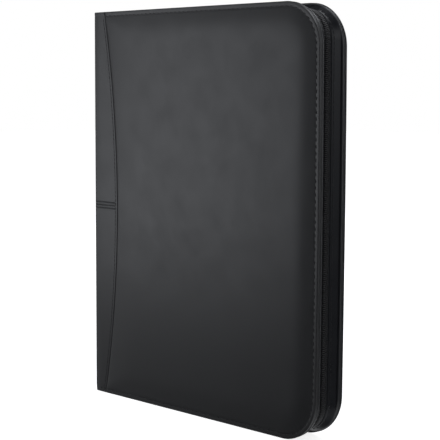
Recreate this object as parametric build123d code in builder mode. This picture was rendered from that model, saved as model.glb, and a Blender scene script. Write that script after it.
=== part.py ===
import os

from build123d import *

# Frame: +X from the spine to the fore edge, +Y from the front cover to the back cover, +Z up.
# The origin is under the middle of the closed case, on the surface that it stands on.

# Writing pad, which the case is made to hold, and the room round it
pad_width = 216.0
pad_height = 298.0
pad_end_gap = 21.0  # from the pad to the cover's edge, above and below
pad_seam_gap = 0.5
pad_card = 0.8
pad_stack = 6.1
pad_gap = 0.1
pad_binding_height = 22.0
pad_binding_film = 0.4
pad_pocket_top = 190.0

# Pen loop between the spine and the pad
pen_radius = 5.5
pen_loop_wall = 1.2
pen_loop_length = 40.0
pen_loop_left = 17.5  # from the spine to the middle of the loop
pen_flap_width = 20.0
pen_flap = 0.8
pen_gap = 2.5

# Case
flange_depth = 31.5  # over the sewn edges of both covers, without the padding
corner_radius = 34.5

# Cover layers, from the outside in
leather = 1.0
foam = 1.5
board = 1.8
lining = 0.6
stitch_margin = 4.5  # flat sewn edge outside the padding
board_inset = 2.0  # board and lining stop short of the leather edge
welt_inset = 0.3
welt_round = 0.8
shoulder_run = 7.0  # how far the padding takes to reach its full height
shoulder_share = 0.8  # part of the foam's height that the shoulder falls

# Curved seam between the spine wrap and the padded panel, measured from the spine
seam_at_ends = 15.0
seam_at_middle = 31.8
seam_gap = 0.2
seam_margin = 0.8

# Three pressed lines across the spine wrap
line_pitch = 2.6
line_width = 1.0
line_depth = 0.4
line_end_margin = 2.9

# Folds and fits
fold_clearance = 0.3
seat_clearance = 0.05

# Side walls and zip, as insets from the cover edge
strip_start = 14.0  # from the spine to where the walls and tapes begin
strip_corner = 29.0  # centre of the corner bends, from both edges
wall_inset = 3.3
wall_lean = 1.0  # how much further in the wall is at its zip edge
wall_leather = 1.2
wall_edge = 6.5  # half of the slot between the two walls
tape_inset = 7.0
tape_thickness = 0.6
tape_flat_half = 5.3
tape_hem_gap = 1.85  # from the lining to the sewn edge of the tape
coil_height = 2.1
coil_shoulder = 0.5
coil_half_width = 3.0
chain_gap = 1.3
coil_set_back = 4.0  # from the tape end to the first tooth
tab_length = 6.0
tab_thickness = 3.0
tab_rise = 0.3
tab_round = 1.5
stop_length = 2.5
stop_gap = 0.3
stop_lift = 0.2

# Slider and pull
slider_length = 14.0
slider_lip = 0.05
slider_flare = 1.4
slider_plate = 1.0
slider_round = 1.2
slider_clearance = 0.25
flange_width = 0.6
flange_clearance = 0.35
post_clearance = 0.2
post_start = 0.8
post_length = 4.2
bridge_length = 9.0
bridge_top_length = 6.6
bridge_width = 2.2
bridge_beam = 0.7
bridge_window = 5.2
pull_bar_radius = 0.7
pull_clearance_below = 0.3
pull_clearance_above = 0.2
pull_length = 24.0
pull_width = 7.0
pull_eye_gap = 1.7
pull_side_clearance = 0.3
pull_hole_radius = 1.2
pull_hole_from_tip = 3.6
pull_round = 2.4

# Pockets on the insides of both covers
pocket_inset = 10.0
pocket_left = 16.0  # from the spine
pocket_below_cards = 16.0
pocket_slope = 36.0  # fall of its mouth towards the fore edge
pocket_panel = 0.8
pocket_gap = 1.0
pocket_seam = 4.0
strip_break = 0.2  # between two strips of one sewn edge
card_panel = 0.7
card_width = 98.0
card_height = 63.0  # of the rear panel
card_step = 13.0
card_top_margin = 29.0
card_left = 128.0  # from the spine
window_left = 24.0
window_width = 92.0
window_height = 62.0
window_border = 6.0
vinyl = 0.3

# Worked out from the sizes above, as distances from the plane between the two covers
flange_out = flange_depth / 2
board_out = flange_out - leather
board_in = board_out - board
lining_in = board_in - lining

pad_left = pen_loop_left + pen_flap_width / 2 + pen_gap + pocket_seam + pad_seam_gap
case_width = pad_left + pad_width + pad_seam_gap + pocket_seam + pocket_inset
cover_height = pad_height + 2 * pad_end_gap
spine_x = -case_width / 2
fore_x = case_width / 2
middle_z = cover_height / 2
spine_thickness = leather + board + lining
fold_radius = spine_thickness / 2
fold_x = spine_x + fold_radius
fold_y = lining_in + fold_radius
cover_left = fold_x + fold_radius + fold_clearance
shoulder_drop = foam * shoulder_share
strip_x = spine_x + strip_start
tape_hem = lining_in - tape_hem_gap
coil_top = tape_inset - coil_height
coil_x = strip_x + coil_set_back
half_gap = chain_gap / 2
slider_x = coil_x + slider_length / 2
upper_plate_z = cover_height - coil_top + slider_clearance
lower_plate_z = cover_height - tape_inset - tape_thickness - slider_clearance
slider_tail = 2 * (coil_half_width + flange_clearance + flange_width + slider_lip)
slider_head = slider_tail + slider_flare
pull_lift = pull_bar_radius + pull_clearance_below
bridge_height = pull_lift + pull_bar_radius + pull_clearance_above + bridge_beam
pull_eye_end = bridge_length / 2 + pull_eye_gap
card_top = cover_height - card_top_margin
card_bottom = card_top - card_height
pocket_high = card_bottom - pocket_below_cards
pocket_low = pocket_high - pocket_slope
wall_foot = wall_inset + wall_leather


def fore_shape(left, inset):
    # A layer of the cover: square at the spine, round at the two fore corners
    width = fore_x - inset - left
    with BuildSketch() as shape:
        with Locations((left + width / 2, middle_z)):
            Rectangle(width, cover_height - 2 * inset)
        fillet(shape.vertices().group_by(Axis.X)[-1], corner_radius - inset)
    return shape.sketch


def spine_side(grow):
    # Everything on the spine's side of the curved seam, with the seam moved out by grow
    with BuildSketch() as shape:
        with BuildLine():
            seam = ThreePointArc(
                (spine_x + seam_at_ends + grow, 0),
                (spine_x + seam_at_middle + grow, middle_z),
                (spine_x + seam_at_ends + grow, cover_height),
            )
            Polyline(seam @ 1, (spine_x, cover_height), (spine_x, 0), seam @ 0)
        make_face()
    return shape.sketch


def pocket_shape(left, high, low):
    # A pocket panel inside the walls, with a mouth that slopes from high to low
    right = fore_x - pocket_inset
    with BuildSketch() as shape:
        with BuildLine():
            Polyline(
                (left, pocket_inset), (right, pocket_inset), (right, low), (left, high), close=True
            )
        make_face()
        corner = shape.vertices().group_by(Axis.Y)[0].sort_by(Axis.X)[-1]
        fillet(corner, strip_corner - pocket_inset)
    return shape.sketch


def edge_run(start):
    # The way of a strip round the bottom, the fore edge and the top
    right = fore_x - tape_inset
    top = cover_height - tape_inset
    with BuildLine(Plane.XZ) as run:
        FilletPolyline(
            (start, tape_inset), (right, tape_inset), (right, top), (start, top),
            radius=strip_corner - tape_inset,
        )
    return run.line


def seam_shape(left, left_top, right_top):
    # The three sewn sides of a pocket, as strips under its panel
    right = fore_x - pocket_inset
    with BuildSketch() as shape:
        with Locations((left, pocket_inset)):
            Rectangle(pocket_seam, left_top - pocket_inset, align=Align.MIN)
        bottom_start = left + pocket_seam + strip_break
        with Locations((bottom_start, pocket_inset)):
            Rectangle(fore_x - strip_corner - bottom_start, pocket_seam, align=Align.MIN)
        with Locations((right - pocket_seam, strip_corner)):
            Rectangle(pocket_seam, right_top - strip_corner, align=Align.MIN)
    return shape.sketch


def spine_shape(start, thickness):
    # A layer of the spine, hollowed at both ends to seat the folds
    with BuildSketch() as shape:
        with Locations((spine_x + start + thickness / 2, 0)):
            Rectangle(thickness, 2 * fold_y)
        with Locations((fold_x, -fold_y), (fold_x, fold_y)):
            Circle(fold_radius + seat_clearance, mode=Mode.SUBTRACT)
    return shape.sketch


def slider_shape():
    # A plate of the slider, wider at the end where the two rows of teeth come in
    with BuildSketch() as shape:
        with BuildLine():
            Polyline(
                (slider_x - slider_length / 2, -slider_head / 2),
                (slider_x, -slider_head / 2),
                (slider_x + slider_length / 2, -slider_tail / 2),
                (slider_x + slider_length / 2, slider_tail / 2),
                (slider_x, slider_head / 2),
                (slider_x - slider_length / 2, slider_head / 2),
                close=True,
            )
        make_face()
        fillet(shape.vertices(), slider_round)
    return shape.sketch


def card_pocket(inner, top):
    # One card panel, lying on the one behind it
    with BuildPart() as pocket:
        with BuildSketch(Plane.XZ.offset(inner)):
            with Locations((spine_x + card_left, card_bottom)):
                Rectangle(card_width, top - card_bottom, align=Align.MIN)
        extrude(amount=card_panel)
    return pocket


def wall_inner(y):
    # Inset of the wall's inner face at a distance y from the middle plane
    return wall_foot + wall_lean * (lining_in - y) / (lining_in - wall_edge)


# Front cover: padding, skin, spine wrap, stiffener, lining and the welt round its edge
with BuildPart() as front_foam:
    with BuildSketch(Plane.XZ.offset(board_out)):
        add(fore_shape(spine_x, stitch_margin + leather))
        add(spine_side(seam_gap + seam_margin + leather), mode=Mode.SUBTRACT)
    extrude(amount=foam)
    foam_top = front_foam.faces().sort_by(Axis.Y)[0]
    chamfer(foam_top.edges(), shoulder_run, shoulder_drop, reference=foam_top)

with BuildPart() as front_leather:
    with BuildSketch(Plane.XZ.offset(board_out)):
        add(fore_shape(spine_x, 0))
        add(spine_side(seam_gap), mode=Mode.SUBTRACT)
    extrude(amount=leather)
    with BuildSketch(Plane.XZ.offset(flange_out)):
        add(fore_shape(spine_x, stitch_margin))
        add(spine_side(seam_gap + seam_margin), mode=Mode.SUBTRACT)
    extrude(amount=foam)
    crown_face = front_leather.faces().sort_by(Axis.Y)[0]
    chamfer(crown_face.edges(), shoulder_run, shoulder_drop, reference=crown_face)
    add(front_foam.part, mode=Mode.SUBTRACT)

with BuildPart() as front_wrap_panel:
    with BuildSketch(Plane.XZ.offset(board_out)):
        add(fore_shape(fold_x, 0))
        add(spine_side(0), mode=Mode.INTERSECT)
    extrude(amount=leather)
    with BuildSketch(Plane.XZ.offset(flange_out)):
        line_length = seam_at_middle - fold_radius - line_end_margin
        with Locations((fold_x + line_length / 2, middle_z)):
            with GridLocations(0, line_pitch, 1, 3):
                Rectangle(line_length, line_width)
    extrude(amount=-line_depth, mode=Mode.SUBTRACT)
    with Locations((fold_x, -fold_y, middle_z)):
        Cylinder(fold_radius + fold_clearance, cover_height, mode=Mode.SUBTRACT)

with BuildPart() as front_board:
    with BuildSketch(Plane.XZ.offset(board_in)):
        add(fore_shape(cover_left, board_inset))
    extrude(amount=board)

with BuildPart() as front_lining:
    with BuildSketch(Plane.XZ.offset(lining_in)):
        add(fore_shape(cover_left, board_inset))
    extrude(amount=lining)

with BuildPart() as front_welt:
    with BuildSketch(Plane.XZ.offset(lining_in)):
        add(fore_shape(cover_left, welt_inset))
        add(fore_shape(cover_left, board_inset), mode=Mode.SUBTRACT)
    extrude(amount=board + lining)
    rim = front_welt.faces().filter_by(GeomType.PLANE).sort_by(Axis.X)[-1]
    rim_edges = rim.edges().filter_by(Axis.Z)
    fillet(rim_edges, welt_round)

# Front side wall and front half of the zip, all swept round the three open edges
with BuildPart() as front_wall:
    with BuildSketch(Plane.YZ.offset(strip_x)):
        with BuildLine():
            Polyline(
                (-lining_in, wall_inset),
                (-wall_edge, wall_inset + wall_lean),
                (-wall_edge, wall_foot + wall_lean),
                (-lining_in, wall_foot),
                close=True,
            )
        make_face()
    sweep(path=edge_run(strip_x))

with BuildPart() as front_tape:
    with BuildSketch(Plane.YZ.offset(strip_x)):
        with BuildLine():
            Polyline(
                (-tape_hem, wall_inner(tape_hem) + seat_clearance),
                (-wall_edge, wall_inner(wall_edge) + seat_clearance),
                (-tape_flat_half, tape_inset),
                (-half_gap, tape_inset),
                (-half_gap, tape_inset + tape_thickness),
                (-tape_flat_half, tape_inset + tape_thickness),
                (-wall_edge, wall_inner(wall_edge) + seat_clearance + tape_thickness),
                (-tape_hem, wall_inner(tape_hem) + seat_clearance + tape_thickness),
                close=True,
            )
        make_face()
    sweep(path=edge_run(strip_x))

with BuildPart() as front_coil:
    with BuildSketch(Plane.YZ.offset(coil_x)):
        with BuildLine():
            coil_side = coil_top + coil_shoulder
            coil_crown = ThreePointArc(
                (-coil_half_width, coil_side),
                (-(coil_half_width + half_gap) / 2, coil_top),
                (-half_gap, coil_side),
            )
            Polyline(
                coil_crown @ 1, (-half_gap, tape_inset), (-coil_half_width, tape_inset), coil_crown @ 0
            )
        make_face()
    sweep(path=edge_run(coil_x))

with BuildPart() as front_tape_tabs:
    tab_inset = tape_inset + tape_thickness + tab_rise - tab_thickness / 2
    tab_x = strip_x - tab_length / 2
    tab_y = -(tape_hem + half_gap) / 2
    with Locations((tab_x, tab_y, tab_inset), (tab_x, tab_y, cover_height - tab_inset)):
        Box(tab_length, tape_hem - half_gap, tab_thickness)
    fillet(front_tape_tabs.edges().filter_by(Axis.Z).group_by(Axis.X)[0], tab_round)

with BuildPart() as front_stop:
    stop_x = coil_x - stop_gap - stop_length / 2
    stop_width = coil_half_width - half_gap
    with Locations((stop_x, -half_gap - stop_width / 2, cover_height - tape_inset + coil_height / 2)):
        Box(stop_length, stop_width, coil_height)

# Inside of the front cover: document pocket, card pockets and a clear window
with BuildPart() as document_pocket:
    document_x = spine_x + pocket_left
    document_out = lining_in - pocket_gap
    with BuildSketch(Plane.XZ.offset(document_out - pocket_panel)):
        add(pocket_shape(document_x, pocket_high, pocket_low))
    extrude(amount=pocket_panel)

with BuildPart() as document_pocket_seams:
    with BuildSketch(Plane.XZ.offset(document_out)):
        add(seam_shape(document_x, pocket_high - pocket_seam, pocket_low))
    extrude(amount=pocket_gap)

card_pocket_rear = card_pocket(lining_in - card_panel, card_top)
card_pocket_middle = card_pocket(lining_in - 2 * card_panel, card_top - card_step)
card_pocket_front = card_pocket(lining_in - 3 * card_panel, card_top - 2 * card_step)

with BuildPart() as id_window:
    window_x = spine_x + window_left + window_width / 2
    window_z = card_bottom + window_height / 2
    with BuildSketch(Plane.XZ.offset(lining_in - vinyl)):
        with Locations((window_x, window_z)):
            Rectangle(window_width, window_height)
    extrude(amount=vinyl)

with BuildPart() as id_window_frame:
    with BuildSketch(Plane.XZ.offset(lining_in - vinyl - pocket_panel)):
        with Locations((window_x, window_z)):
            Rectangle(window_width, window_height)
            Rectangle(
                window_width - 2 * window_border, window_height - 2 * window_border, mode=Mode.SUBTRACT
            )
    extrude(amount=pocket_panel)

# Spine between the two folds
with BuildPart() as spine_wrap:
    with BuildSketch():
        add(spine_shape(0, leather))
    extrude(amount=cover_height)
    with BuildSketch(Plane.YZ.offset(spine_x)):
        with Locations((0, middle_z)):
            with GridLocations(0, line_pitch, 1, 3):
                Rectangle(2 * fold_y, line_width)
    extrude(amount=line_depth, mode=Mode.SUBTRACT)

with BuildPart() as spine_board:
    with BuildSketch():
        add(spine_shape(leather, board))
    extrude(amount=cover_height)

with BuildPart() as spine_lining:
    with BuildSketch():
        add(spine_shape(leather + board, lining))
    extrude(amount=cover_height)

with BuildPart() as front_fold:
    with Locations((fold_x, -fold_y, middle_z)):
        Cylinder(fold_radius, cover_height)

# Back cover and its half of the zip, the same as the front the other way round
with BuildPart() as back_fold:
    mirror(front_fold.part, about=Plane.XZ)

with BuildPart() as back_foam:
    mirror(front_foam.part, about=Plane.XZ)

with BuildPart() as back_leather:
    mirror(front_leather.part, about=Plane.XZ)

with BuildPart() as back_wrap_panel:
    mirror(front_wrap_panel.part, about=Plane.XZ)

with BuildPart() as back_board:
    mirror(front_board.part, about=Plane.XZ)

with BuildPart() as back_lining:
    mirror(front_lining.part, about=Plane.XZ)

with BuildPart() as back_welt:
    mirror(front_welt.part, about=Plane.XZ)

with BuildPart() as back_wall:
    mirror(front_wall.part, about=Plane.XZ)

with BuildPart() as back_tape:
    mirror(front_tape.part, about=Plane.XZ)

with BuildPart() as back_coil:
    mirror(front_coil.part, about=Plane.XZ)

with BuildPart() as back_tape_tabs:
    mirror(front_tape_tabs.part, about=Plane.XZ)

with BuildPart() as back_stop:
    mirror(front_stop.part, about=Plane.XZ)

# Stop that ties both tapes together at the lower end of the zip
with BuildPart() as end_stop:
    with Locations((stop_x, 0, tape_inset - (coil_height + stop_lift) / 2)):
        Box(stop_length, 2 * coil_half_width, coil_height - stop_lift)

# Inside of the back cover: writing pad in its pocket, and a pen loop
with BuildPart() as pad_backing:
    pad_x = spine_x + pad_left
    with BuildSketch(Plane.XZ.offset(pad_card - lining_in)):
        with Locations((pad_x + pad_width / 2, middle_z)):
            Rectangle(pad_width, pad_height)
    extrude(amount=-pad_card)

with BuildPart() as pad_pocket:
    pad_room = pad_card + 2 * pad_gap
    pad_pocket_x = pad_x - pad_seam_gap - pocket_seam
    pad_panel_in = lining_in - pad_room - pocket_panel
    with BuildSketch(Plane.XZ.offset(-pad_panel_in)):
        add(pocket_shape(pad_pocket_x, pad_pocket_top, pad_pocket_top))
    extrude(amount=-pocket_panel)

with BuildPart() as pad_pocket_seams:
    with BuildSketch(Plane.XZ.offset(pad_room - lining_in)):
        add(seam_shape(pad_pocket_x, pad_pocket_top, pad_pocket_top))
    extrude(amount=-pad_room)

with BuildPart() as pad_sheets:
    sheets_in = pad_panel_in - pad_gap - pad_stack
    with BuildSketch(Plane.XZ.offset(-sheets_in)):
        with Locations((pad_x + pad_width / 2, middle_z)):
            Rectangle(pad_width, pad_height)
    extrude(amount=-pad_stack)

with BuildPart() as pad_binding:
    pad_top = middle_z + pad_height / 2
    with BuildSketch(Plane.YZ.offset(pad_x)):
        with BuildLine():
            Polyline(
                (sheets_in - pad_binding_film, pad_top - pad_binding_height),
                (sheets_in, pad_top - pad_binding_height),
                (sheets_in, pad_top),
                (lining_in, pad_top),
                (lining_in, pad_top + pad_binding_film),
                (sheets_in - pad_binding_film, pad_top + pad_binding_film),
                close=True,
            )
        make_face()
    extrude(amount=pad_width)

with BuildPart() as pen_loop:
    loop_radius = pen_radius + pen_loop_wall
    loop_x = spine_x + pen_loop_left
    loop_y = lining_in - loop_radius
    with BuildSketch(Plane.XY.offset(middle_z - pen_loop_length / 2)):
        with Locations((loop_x, loop_y)):
            Circle(loop_radius)
        with Locations((loop_x, lining_in - pen_flap / 2)):
            Rectangle(pen_flap_width, pen_flap)
        with Locations((loop_x, loop_y)):
            Circle(pen_radius, mode=Mode.SUBTRACT)
    extrude(amount=pen_loop_length)

# Slider over the closed end of the zip, its bridge and the pull
with BuildPart() as zip_slider:
    with BuildSketch(Plane.XY.offset(upper_plate_z)):
        add(slider_shape())
    extrude(amount=slider_plate)
    with BuildSketch(Plane.XY.offset(lower_plate_z)):
        add(slider_shape())
    extrude(amount=-slider_plate)
    with BuildSketch(Plane.XY.offset(lower_plate_z)):
        with BuildLine():
            post_x = slider_x - slider_length / 2 + post_start
            post_half = half_gap - post_clearance
            Polyline(
                (post_x, 0),
                (post_x + post_length / 2, -post_half),
                (post_x + post_length, 0),
                (post_x + post_length / 2, post_half),
                close=True,
            )
        make_face()
    extrude(amount=upper_plate_z - lower_plate_z)
    flange_drop = upper_plate_z - (cover_height - tape_inset) - flange_clearance
    with BuildSketch(Plane.XY.offset(upper_plate_z)):
        with Locations((slider_x, coil_half_width + flange_clearance + flange_width / 2)):
            Rectangle(slider_length - 2 * slider_round, flange_width)
    extrude(amount=-flange_drop)

with BuildPart() as slider_bridge:
    bridge_z = upper_plate_z + slider_plate
    with BuildSketch(Plane.XZ):
        with BuildLine():
            Polyline(
                (slider_x - bridge_length / 2, bridge_z),
                (slider_x + bridge_length / 2, bridge_z),
                (slider_x + bridge_top_length / 2, bridge_z + bridge_height),
                (slider_x - bridge_top_length / 2, bridge_z + bridge_height),
                close=True,
            )
        make_face()
        with Locations((slider_x, bridge_z + (bridge_height - bridge_beam) / 2)):
            Rectangle(bridge_window, bridge_height - bridge_beam, mode=Mode.SUBTRACT)
    extrude(amount=bridge_width / 2, both=True)

with BuildPart() as zip_pull:
    pull_z = bridge_z + pull_lift
    with BuildSketch(Plane.XY.offset(pull_z - pull_bar_radius)) as pull_face:
        with Locations((slider_x + pull_length / 2, 0)):
            Rectangle(pull_length, pull_width)
        fillet(pull_face.vertices().group_by(Axis.X)[-1], pull_round)
        with Locations((slider_x + pull_eye_end / 2, 0)):
            Rectangle(pull_eye_end, bridge_width + 2 * pull_side_clearance, mode=Mode.SUBTRACT)
        with Locations((slider_x + pull_length - pull_hole_from_tip, 0)):
            Circle(pull_hole_radius, mode=Mode.SUBTRACT)
    extrude(amount=2 * pull_bar_radius)
    with Locations((slider_x, 0, pull_z)):
        Cylinder(pull_bar_radius, pull_width, rotation=(90, 0, 0))

pieces = {
    "front_leather": front_leather,
    "front_wrap_panel": front_wrap_panel,
    "front_foam": front_foam,
    "front_board": front_board,
    "front_lining": front_lining,
    "front_welt": front_welt,
    "front_wall": front_wall,
    "front_tape": front_tape,
    "front_coil": front_coil,
    "front_tape_tabs": front_tape_tabs,
    "front_stop": front_stop,
    "document_pocket": document_pocket,
    "document_pocket_seams": document_pocket_seams,
    "card_pocket_rear": card_pocket_rear,
    "card_pocket_middle": card_pocket_middle,
    "card_pocket_front": card_pocket_front,
    "id_window": id_window,
    "id_window_frame": id_window_frame,
    "spine_wrap": spine_wrap,
    "spine_board": spine_board,
    "spine_lining": spine_lining,
    "front_fold": front_fold,
    "back_fold": back_fold,
    "back_leather": back_leather,
    "back_wrap_panel": back_wrap_panel,
    "back_foam": back_foam,
    "back_board": back_board,
    "back_lining": back_lining,
    "back_welt": back_welt,
    "back_wall": back_wall,
    "back_tape": back_tape,
    "back_coil": back_coil,
    "back_tape_tabs": back_tape_tabs,
    "back_stop": back_stop,
    "end_stop": end_stop,
    "pad_backing": pad_backing,
    "pad_pocket": pad_pocket,
    "pad_pocket_seams": pad_pocket_seams,
    "pad_sheets": pad_sheets,
    "pad_binding": pad_binding,
    "pen_loop": pen_loop,
    "zip_slider": zip_slider,
    "slider_bridge": slider_bridge,
    "zip_pull": zip_pull,
}

os.makedirs("parts", exist_ok=True)
for name, piece in pieces.items():
    piece.part.label = name
    export_step(piece.part, f"parts/{name}.step")
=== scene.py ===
import math

import bmesh
import bpy
from mathutils import Matrix, Quaternion, Vector


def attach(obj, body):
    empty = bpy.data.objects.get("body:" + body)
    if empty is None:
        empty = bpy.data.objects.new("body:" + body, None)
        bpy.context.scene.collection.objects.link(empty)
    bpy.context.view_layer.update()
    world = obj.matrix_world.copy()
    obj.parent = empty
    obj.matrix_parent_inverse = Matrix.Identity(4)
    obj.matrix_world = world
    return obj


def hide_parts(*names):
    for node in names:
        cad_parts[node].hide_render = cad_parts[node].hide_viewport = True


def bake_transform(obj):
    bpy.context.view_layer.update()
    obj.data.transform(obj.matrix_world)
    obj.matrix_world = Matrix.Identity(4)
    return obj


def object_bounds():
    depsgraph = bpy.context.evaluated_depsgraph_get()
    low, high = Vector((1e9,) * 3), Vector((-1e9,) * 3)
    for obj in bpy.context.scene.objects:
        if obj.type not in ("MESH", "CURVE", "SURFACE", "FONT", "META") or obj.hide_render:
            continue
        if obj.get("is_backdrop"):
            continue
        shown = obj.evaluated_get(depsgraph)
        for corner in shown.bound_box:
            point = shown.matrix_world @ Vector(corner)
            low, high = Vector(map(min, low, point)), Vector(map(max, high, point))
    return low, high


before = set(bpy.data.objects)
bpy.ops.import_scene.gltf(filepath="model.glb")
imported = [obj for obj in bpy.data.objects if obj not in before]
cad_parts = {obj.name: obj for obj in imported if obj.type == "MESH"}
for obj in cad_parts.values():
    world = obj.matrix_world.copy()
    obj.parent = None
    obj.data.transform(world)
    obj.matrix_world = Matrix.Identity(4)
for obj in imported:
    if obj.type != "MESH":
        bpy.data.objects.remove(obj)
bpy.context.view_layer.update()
scene = bpy.context.scene
mm = 0.001

# The closed case, in millimetres and in the part's frame: spine at -x, front cover at -y
case = {
    "spine": -132.5,
    "fore": 132.5,
    "height": 340.0,
    "corner": 34.5,  # round of the covers' fore corners
    "bend": 29.0,  # round of the walls and the zip, measured at the cover's edge
    "face": 15.75,  # sewn edge of a cover, from the middle plane
    "crown": 17.25,  # top of the padding, from the middle plane
    "seamEnd": 15.0,
    "seamMiddle": 31.8,
    "foldX": -130.8,
    "foldY": 14.05,
    "foldRound": 1.7,
    "bow": 0.9,
}
front, back = -1, 1  # which way a cover looks along y
covers = (("front", front), ("back", back))  # each rides on the body with this name and _cover


def easeStep(a, b, x):
    u = min(1.0, max(0.0, (x - a) / (b - a)))
    return u * u * (3 - 2 * u)


def dent(form, d):
    # a pressed line's depth at d, from its depth, place and width
    depth, place, width = form
    return depth * math.exp(-(((d - place) / width) ** 2))


def rolled(form, d):
    # a rolled edge's drop at d, from its drop and width
    drop, width = form
    return drop * (1 - easeStep(0.0, width, d))


def readTable(table, x):
    # smooth curve through a table of (place, level)
    if x <= table[0][0]:
        return table[0][1]
    if x >= table[-1][0]:
        return table[-1][1]
    k = next(i for i in range(len(table) - 1) if x <= table[i + 1][0])
    (x0, y0), (x1, y1) = table[k], table[k + 1]
    xa, ya = table[max(k - 1, 0)]
    xb, yb = table[min(k + 2, len(table) - 1)]
    gap = x1 - x0
    m0, m1 = (y1 - ya) / (x1 - xa) * gap, (yb - y0) / (xb - x0) * gap
    u = (x - x0) / gap
    return (
        y0 * (1 + 2 * u) * (1 - u) ** 2
        + m0 * u * (1 - u) ** 2
        + y1 * u * u * (3 - 2 * u)
        + m1 * u * u * (u - 1)
    )


def softMin(a, b, blend):
    h = min(1.0, max(0.0, 0.5 + 0.5 * (b - a) / blend))
    return b * (1 - h) + a * h - blend * h * (1 - h)


def spread(a, b, count):
    return [a + (b - a) * i / count for i in range(count + 1)]


def arc(cx, cz, r, a, b, turns):
    angles = spread(math.radians(a), math.radians(b), turns)
    return [(cx + r * math.cos(t), cz + r * math.sin(t)) for t in angles]


def seamX(z):
    # the curved seam between the spine wrap and the padded panel
    rise, half = case["seamMiddle"] - case["seamEnd"], case["height"] / 2
    radius = (half * half + rise * rise) / (2 * rise)
    middle = case["spine"] + case["seamMiddle"] - radius
    return middle + math.sqrt(radius * radius - (z - half) ** 2)


def edgeDepth(x, z):
    # how far a point lies inside the cover's bottom, fore and top edges
    r, fore, high = case["corner"], case["fore"], case["height"]
    zc = min(max(z, r), high - r)
    if x > fore - r and z != zc:
        return r - math.hypot(x - (fore - r), z - zc)
    return min(fore - x, z, high - z)


# Camera, fitted to the photograph's silhouette
cameraSet = {
    "place": (0.772334, -0.755702, 0.272688),
    "lens": 106.335,
    "yaw": 45.172,
    "pitch": 5.7296,
    "roll": 0.2587,
}


def makeCamera():
    data = bpy.data.cameras.new("camera")
    data.lens = cameraSet["lens"]
    camera = bpy.data.objects.new("camera", data)
    scene.collection.objects.link(camera)
    yaw, pitch, roll = (math.radians(cameraSet[k]) for k in ("yaw", "pitch", "roll"))
    ahead = Vector((-math.sin(yaw) * math.cos(pitch), math.cos(yaw) * math.cos(pitch), -math.sin(pitch)))
    right = ahead.cross(Vector((0, 0, 1))).normalized()
    up = right.cross(ahead)
    turned = right * math.cos(roll) + up * math.sin(roll)
    upright = up * math.cos(roll) - right * math.sin(roll)
    axes = Matrix((turned, upright, -ahead)).transposed().to_4x4()
    camera.matrix_world = Matrix.Translation(cameraSet["place"]) @ axes
    scene.camera = camera


makeCamera()
print("camera placed")


# Shader helpers
def feed(tree, sockets, values):
    # a link or a plain value for each socket
    for name, value in values.items():
        if isinstance(value, bpy.types.NodeSocket):
            tree.links.new(value, sockets[name])
        else:
            sockets[name].default_value = value


def addNode(tree, kind, inputs=None, **settings):
    node = tree.nodes.new(kind)
    for name, value in settings.items():
        setattr(node, name, value)
    feed(tree, node.inputs, inputs or {})
    return node


def mathNode(tree, operation, *values, clamp=False):
    inputs = dict(enumerate(values))
    return addNode(tree, "ShaderNodeMath", inputs, operation=operation, use_clamp=clamp).outputs[0]


def rangeNode(tree, value, start, end, kind="LINEAR", low=0.0, high=1.0):
    inputs = {"Value": value, "From Min": start, "From Max": end, "To Min": low, "To Max": high}
    return addNode(tree, "ShaderNodeMapRange", inputs, interpolation_type=kind).outputs[0]


def mixColour(tree, amount, first, second):
    inputs = {0: amount}
    for socket, colour in ((6, first), (7, second)):
        inputs[socket] = (*colour, 1) if isinstance(colour, tuple) else colour
    return addNode(tree, "ShaderNodeMix", inputs, data_type="RGBA").outputs[2]


def objectPlace(tree):
    return addNode(tree, "ShaderNodeTexCoord").outputs["Object"]


def noise(tree, scale, detail, roughness=0.5):
    inputs = {"Vector": objectPlace(tree), "Scale": scale, "Detail": detail, "Roughness": roughness}
    return addNode(tree, "ShaderNodeTexNoise", inputs).outputs["Fac"]


def newGroup(name, inputs, outputs):
    group = bpy.data.node_groups.new(name, "ShaderNodeTree")
    for socket, value in inputs.items():
        made = group.interface.new_socket(socket, in_out="INPUT", socket_type="NodeSocketFloat")
        made.default_value = value
    for socket in outputs:
        group.interface.new_socket(socket, in_out="OUTPUT", socket_type="NodeSocketFloat")
    return group, addNode(group, "NodeGroupInput").outputs, addNode(group, "NodeGroupOutput").inputs


def placeGroup(tree, group, **values):
    return addNode(tree, "ShaderNodeGroup", values, node_tree=group).outputs


texture = {  # how fine each noise is, per metre, and its layers of detail
    "pores": (4200.0, 3.0),
    "creases": (420.0, 4.0),
    "gloss": (46.0, 5.0, 0.6),
    "fuzz": (900.0, 4.0),
    "rub": (240.0, 5.0),
    "smear": (700.0, 4.0),
    "felt": (70.0, 3.0),
    "fibres": (1600.0, 5.0),
    "waves": (40.0, 2.0),
}
grainDepth = {"pebbles": 0.9, "pores": 0.22, "creases": 0.6}


def grainGroup():
    # fine pebble of the coated leather, with broad uneven patches of tone and gloss
    given = {"Pebbles": 1500.0, "Patches": 9.0}
    group, given, out = newGroup("leatherGrain", given, ("Height", "Tone", "Gloss"))
    inputs = {"Vector": objectPlace(group), "Scale": given["Pebbles"]}
    pebbles = addNode(group, "ShaderNodeTexVoronoi", inputs, feature="SMOOTH_F1").outputs["Distance"]
    height = mathNode(group, "MULTIPLY", pebbles, grainDepth["pebbles"])
    height = mathNode(group, "MULTIPLY_ADD", noise(group, *texture["pores"]), grainDepth["pores"], height)
    height = mathNode(group, "MULTIPLY_ADD", noise(group, *texture["creases"]), grainDepth["creases"], height)
    tone, gloss = noise(group, given["Patches"], 3.0), noise(group, *texture["gloss"])
    feed(group, out, {"Height": height, "Tone": tone, "Gloss": gloss})
    return group


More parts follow.
